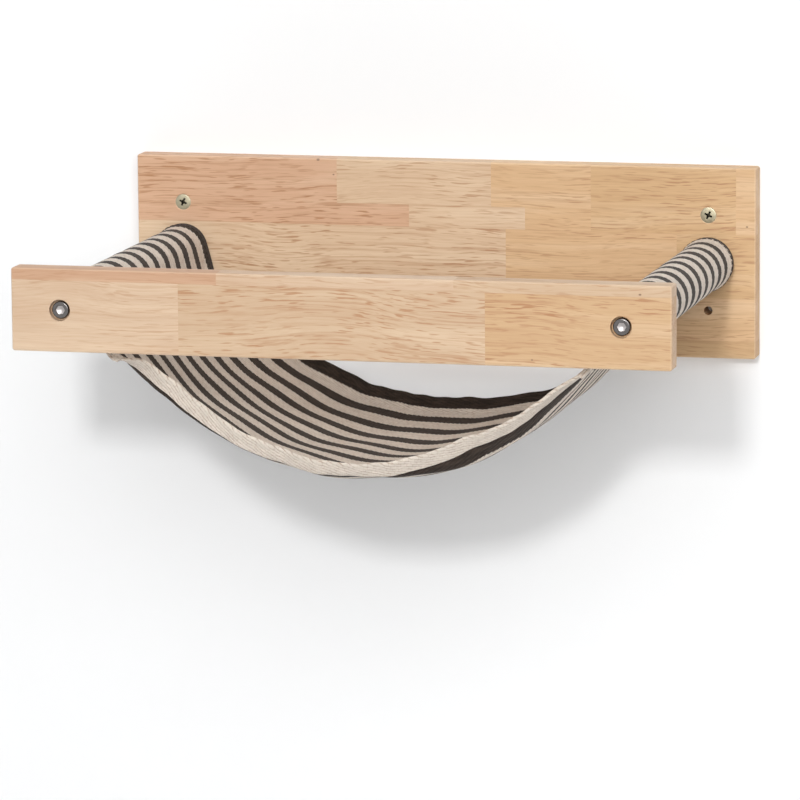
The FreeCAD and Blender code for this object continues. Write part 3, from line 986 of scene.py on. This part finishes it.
class WALLSHELF_OT_stage(bpy.types.Operator):
    """Make the wall, the floor, the light and the camera"""
    bl_idname = "wall_shelf.stage"
    bl_label = "Make Stage"

    def execute(self, context):
        scene = context.scene
        settings = scene.wall_shelf.stage
        scene.view_settings.view_transform = "Standard"
        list(self.room(settings))
        self.light(scene, settings)
        self.aim(scene, settings)
        return {"FINISHED"}

    def room(self, settings):
        """Wall and floor; the wall is open behind the board but for a rim and what the lower holes show."""
        rim, gap, margin = 1.7 * MM, 0.05 * MM, 0.2 * MM
        far, depth = settings.wall_reach, -settings.floor_drop
        low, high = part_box("back_board")
        xs = (-far, low.x + rim, high.x - rim, far)
        zs = (depth, low.z + rim, high.z - rim, far)
        verts = [(x, gap, z) for z in zs for x in xs]
        faces = quads(len(zs), len(xs), False)
        del faces[len(faces) // 2]
        holes = next(mount for mount in frame["record"]["mounts"] if mount["name"] == "lower_wall_holes")
        patch = polygon(24, holes["dims"]["hole_r_mm"] * MM + margin)
        for side in SIDES.values():
            faces.append(tuple(range(len(verts), len(verts) + len(patch))))
            middle = side * holes["dims"]["spacing_x_mm"] * MM / 2
            verts += [(middle + x, gap, holes["pos_m"][2] + z) for x, z in patch]
        wall = new_object("wall", verts, faces, self.paint(settings, "pale_wall", settings.lift))
        wall.data.materials.append(self.paint(settings, "unlit_wall", 0.0))
        for face in wall.data.polygons:
            face.material_index = int(len(face.vertices) > 4)
        corners = ((-far, -settings.floor_reach), (far, -settings.floor_reach), (far, gap), (-far, gap))
        floor = new_object("floor", [(x, y, depth) for x, y in corners], [(0, 1, 2, 3)],
                           self.paint(settings, "pale_floor", settings.floor_lift))
        return wall, floor

    def paint(self, settings, name, lift):
        """Pale matt paint, seen only from its front and lifted to white for the camera and in metal."""
        finish = Finish(name)
        mottle = finish.noise(finish.read("ShaderNodeNewGeometry", output="Position"), (3.0, 3.0, 3.0))
        tint = finish.mix(finish.span(mottle, 0.3, 0.7), settings.wall, shaded(settings.wall, 0.985))
        finish.set(Base_Color=tint, Roughness=0.9, Specular_IOR_Level=0.1)
        white = finish.read("ShaderNodeEmission", {"Color": WHITE, "Strength": 1.0})
        whiteness = self.sees_background(finish) * lift
        lifted = finish.read("ShaderNodeMixShader", {0: whiteness, 1: finish.surface, 2: white})
        clear = finish.read("ShaderNodeBsdfTransparent")
        behind = finish.read("ShaderNodeNewGeometry", output="Backfacing")
        sided = finish.read("ShaderNodeMixShader", {0: behind, 1: lifted, 2: clear})
        finish.feed(finish.output.inputs["Surface"], sided)
        return finish.material

    def sees_background(self, nodes):
        """1 for rays that come from the camera, a mirror or glass."""
        path = nodes.add("ShaderNodeLightPath").outputs
        camera, mirror, glass = (
            Field(nodes, path[kind]) for kind in ("Is Camera Ray", "Is Glossy Ray", "Is Transmission Ray"))
        return nodes.math("MAXIMUM", nodes.math("MAXIMUM", camera, mirror), glass)

    def light(self, scene, settings):
        """Soft light from above, a small lamp, a large one in front and one behind the wall."""
        scene.world = bpy.data.worlds.new("studio")
        scene.world.use_nodes = True
        nodes = Nodes(scene.world.node_tree)
        height = nodes.axes(nodes.read("ShaderNodeTexCoord", output="Generated"))[2]
        strength = nodes.span(height, -0.1, 0.9, settings.horizon, settings.zenith)
        soft = nodes.read("ShaderNodeBackground", {"Color": WHITE, "Strength": strength})
        white = nodes.read("ShaderNodeBackground", {"Color": WHITE, "Strength": 1.0})
        mixed = nodes.read("ShaderNodeMixShader", {0: self.sees_background(nodes), 1: soft, 2: white})
        nodes.add("ShaderNodeOutputWorld", {"Surface": mixed})
        for name, size in (("key", settings.key_size), ("fill", settings.fill_size),
                           ("behind", settings.fill_size)):
            light = bpy.data.lights.new(name, "AREA")
            light.shape = "SQUARE"
            light.size = size
            light.energy = getattr(settings, name)
            lamp = bpy.data.objects.new(name, light)
            scene.collection.objects.link(lamp)
            lamp.location = getattr(settings, name + "_place")
            lamp.rotation_mode = "QUATERNION"
            lamp.rotation_quaternion = (Vector(settings.lit) - lamp.location).to_track_quat("-Z", "Y")

    def aim(self, scene, settings):
        """Camera at the viewing angle found from the corners, bolts and screws."""
        a, e = settings.azimuth, settings.elevation
        back = Vector((math.sin(a) * math.cos(e), -math.cos(a) * math.cos(e), math.sin(e)))
        data = bpy.data.cameras.new("camera")
        data.lens = settings.lens
        data.sensor_width = 36.0
        data.clip_end = 50.0
        camera = bpy.data.objects.new("camera", data)
        eye = Matrix.Translation(Vector(settings.target) + settings.distance * back)
        turn = back.to_track_quat("Z", "Y").to_matrix().to_4x4()
        camera.matrix_world = eye @ turn @ Matrix.Rotation(settings.roll, 4, "Z")
        scene.collection.objects.link(camera)
        scene.camera = camera


class WALLSHELF_OT_boards(bpy.types.Operator):
    """Finish the back board and the front rail in glued-up hardwood"""
    bl_idname = "wall_shelf.boards"
    bl_label = "Finish Boards"

    def execute(self, context):
        wood = context.scene.wall_shelf.wood
        # Painted shade: the rail's tints are darkened because the lamps light the rail more than the board
        shade = wood.rail_painted_shade
        repaint("back_board", make_wood("board_wood", wood, (
            (2, 1.0, (-200, "pink", 0.73), (-70, "straw", 0.42), (30, "amber", 0.5), (95, "honey", 0.61),
             (187, "amber", 0.27)),
            (-12, 1.0, (-200, "pink", 0.73), (-22, "straw", 0.36), (52, "amber", 0.45), (95, "honey", 0.61),
             (187, "amber", 0.27)),
            (-52, 1.0, (-200, "straw", 0.58), (40, "amber", 0.53), (150, "honey", 0.41)),
            (-79, 1.0, (-200, "straw", 0.64), (-40, "honey", 0.19), (110, "amber", 0.47)),
            (-90, 0.95, (-200, "pink", 0.33), (60, "honey", 0.51)),
        ), ((194.5, -6.7, 0.7), (-70.8, 19.9, 0.6), (-80.8, 29.2, 1.0))))
        repaint("front_rail", make_wood("rail_wood", wood, (
            (-12, shade, (-200, "pink", 0.52), (-74, "cream", 0.36), (70, "straw", 0.45)),
            (-55, shade, (-200, "cream", 0.21), (-98, "straw", 0.57), (88, "amber", 0.86)),
        ), ((181.2, -10.5, 0.8), (117.1, -50.7, 0.6))))
        return {"FINISHED"}


class WALLSHELF_OT_arms(bpy.types.Operator):
    """Finish the round arms and the threaded inserts in them"""
    bl_idname = "wall_shelf.arms"
    bl_label = "Finish Arms"

    def execute(self, context):
        shelf = context.scene.wall_shelf
        arm = make_wood("arm_wood", shelf.wood, ((-44, 1.0, (-200, "straw", 0.24), (0, "straw", 0.68)),))
        steel = make_metal("insert_steel", shelf.fasteners.steel, roughness=0.38, brush=40.0)
        for side in SIDES:
            repaint("arm_" + side, arm)
            repaint("front_insert_" + side, steel)
            repaint("rear_insert_" + side, steel)
        return {"FINISHED"}


class WALLSHELF_OT_bolts(bpy.types.Operator):
    """Make the socket bolts of the rail and the back board"""
    bl_idname = "wall_shelf.bolts"
    bl_label = "Make Bolts"

    def execute(self, context):
        settings = context.scene.wall_shelf.fasteners
        # Painted reflection: the dark nickel stands for the dark room reflected in the heads
        nickel = make_metal("nickel", settings.nickel, roughness=0.17, brush=120.0)
        # Painted light: the socket's finish is the nickel made 2.8 times brighter
        socket_light_tint = shaded(settings.nickel, 2.8)
        socket_painted_light = make_metal("drilled_nickel", socket_light_tint, roughness=0.46, brush=300.0)
        for end, into_wall in (("front", True), ("rear", False)):
            for side in SIDES:
                node = end + "_bolt_" + side
                low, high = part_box(node)
                under_head = low.y + settings.bolt_head if into_wall else high.y - settings.bolt_head
                bolt = make_bolt("socket_bolt_" + end + "_" + side, settings,
                                 high.y - low.y - settings.bolt_head)
                fasten(bolt, node, under_head, into_wall, "bolt_steel", nickel, socket_painted_light)
        return {"FINISHED"}


class WALLSHELF_OT_wall_screws(bpy.types.Operator):
    """Make the cross-head wall screws"""
    bl_idname = "wall_shelf.wall_screws"
    bl_label = "Make Wall Screws"

    def execute(self, context):
        settings = context.scene.wall_shelf.fasteners
        zinc = make_metal("yellow_zinc", settings.zinc, roughness=0.44, brush=120.0)
        # Painted shade: the cross recess gets the zinc at a fifth of its brightness
        painted_recess_shade = shaded(settings.zinc, 0.2)
        recess = make_metal("zinc_recess", painted_recess_shade, roughness=0.6, brush=120.0)
        for side in SIDES:
            node = "wall_screw_" + side
            low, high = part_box(node)
            screw = make_wall_screw("cross_screw_" + side, settings, high.y - low.y, -low.y)
            fasten(screw, node, low.y, True, "screw_zinc", zinc, recess)
        return {"FINISHED"}


class WALLSHELF_OT_sling(bpy.types.Operator):
    """Hang the striped canvas sling on the arms and sew it"""
    bl_idname = "wall_shelf.sling"
    bl_label = "Hang Sling"

    def execute(self, context):
        settings = context.scene.wall_shelf.sling
        shape = SlingShape(settings)
        cloth = make_cloth(shape, make_canvas(settings))
        dress(cloth, "sling", "canvas", "sling_bed", "front_hem", "rear_hem", "sleeve_left", "sleeve_right")
        pale = make_thread("pale_thread", settings.pale)
        dark = make_thread("dark_thread", settings.dark)
        front, rear = self.hem_lines(shape)
        sewn = [sew("sleeve_stitching", shape, self.seam_lines(shape), pale),
                sew("front_hem_stitching", shape, front, pale),
                sew("rear_hem_stitching", shape, rear, dark)]
        for stitches in sewn:
            dress(stitches, "sling", "canvas")
        return {"FINISHED"}

    def on_face(self, shape, rows_and_columns, sign):
        """Places and normals on the upper or the under face of the canvas."""
        places, normals = [], []
        for row, column in rows_and_columns:
            place, normal = shape.at(row, column)
            places.append(place + sign * normal * shape.settings.thickness / 2)
            normals.append(sign * normal)
        return np.array(places), np.array(normals)

    def seam_lines(self, shape):
        """Two rows along each sleeve, on top of the seam and under it."""
        edge = 2.5 * MM
        insets = (1.6, 4.0)  # columns from a seam's end
        rows = [row for row in shape.main_rows if edge < shape.rows[row, 0] < shape.width - edge]
        lines = []
        for inset in insets:
            for column in (inset, shape.loop_count - 1 - inset, shape.columns - shape.loop_count + inset,
                           shape.columns - 1 - inset):
                lines.append(self.on_face(shape, [(row, column) for row in rows], 1))
        return lines

    def hem_lines(self, shape):
        """One row along each hem, on the canvas and on the fold under it."""
        end, past_seam = 2, 4  # columns left free at an end of the canvas and beside a seam
        columns = np.arange(end, shape.columns - end)
        bed_start = shape.loop_count + past_seam
        bed = np.arange(bed_start, shape.columns - bed_start)
        from_fold = 1.6 * MM
        inset = shape.settings.hem_fold - from_fold
        along = shape.rows[:, 0]
        # The folded rows run against the canvas over them
        front_fold = np.arange(shape.fold_rows)[::-1]
        rear_fold = np.arange(len(along) - shape.fold_rows, len(along))[::-1]
        hems = []
        for edge, fold in ((inset, front_fold), (shape.width - inset, rear_fold)):
            over = np.interp(edge, along[shape.main_rows], shape.main_rows)
            under = np.interp(edge, along[fold], fold)
            hems.append([self.on_face(shape, [(over, column) for column in columns], 1),
                         self.on_face(shape, [(under, column) for column in bed], -1)])
        return hems


class WALLSHELF_PT_panel(bpy.types.Panel):
    """Settings and steps of the wall shelf"""
    bl_label = "Wall Shelf"
    bl_idname = "WALLSHELF_PT_panel"
    bl_space_type = "VIEW_3D"
    bl_region_type = "UI"
    bl_category = "Wall Shelf"

    def draw(self, context):
        shelf = context.scene.wall_shelf
        for operator in OPERATORS:
            self.layout.operator(operator.bl_idname)
        for group in (shelf.wood, shelf.sling, shelf.fasteners, shelf.stage):
            box = self.layout.box()
            for name in group.__annotations__:
                box.prop(group, name)


OPERATORS = (WALLSHELF_OT_stage, WALLSHELF_OT_boards, WALLSHELF_OT_arms, WALLSHELF_OT_bolts,
             WALLSHELF_OT_wall_screws, WALLSHELF_OT_sling)
CLASSES = (WoodSettings, SlingSettings, FastenerSettings, StageSettings, ShelfSettings, *OPERATORS,
           WALLSHELF_PT_panel)


def register():
    for item in CLASSES:
        bpy.utils.register_class(item)
    bpy.types.Scene.wall_shelf = bpy.props.PointerProperty(type=ShelfSettings)


def unregister():
    del bpy.types.Scene.wall_shelf
    for item in reversed(CLASSES):
        bpy.utils.unregister_class(item)


def main():
    register()
    steps = bpy.ops.wall_shelf
    steps.stage()
    steps.boards()
    steps.arms()
    steps.bolts()
    steps.wall_screws()
    steps.sling()
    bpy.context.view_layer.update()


if __name__ == "__main__":
    main()
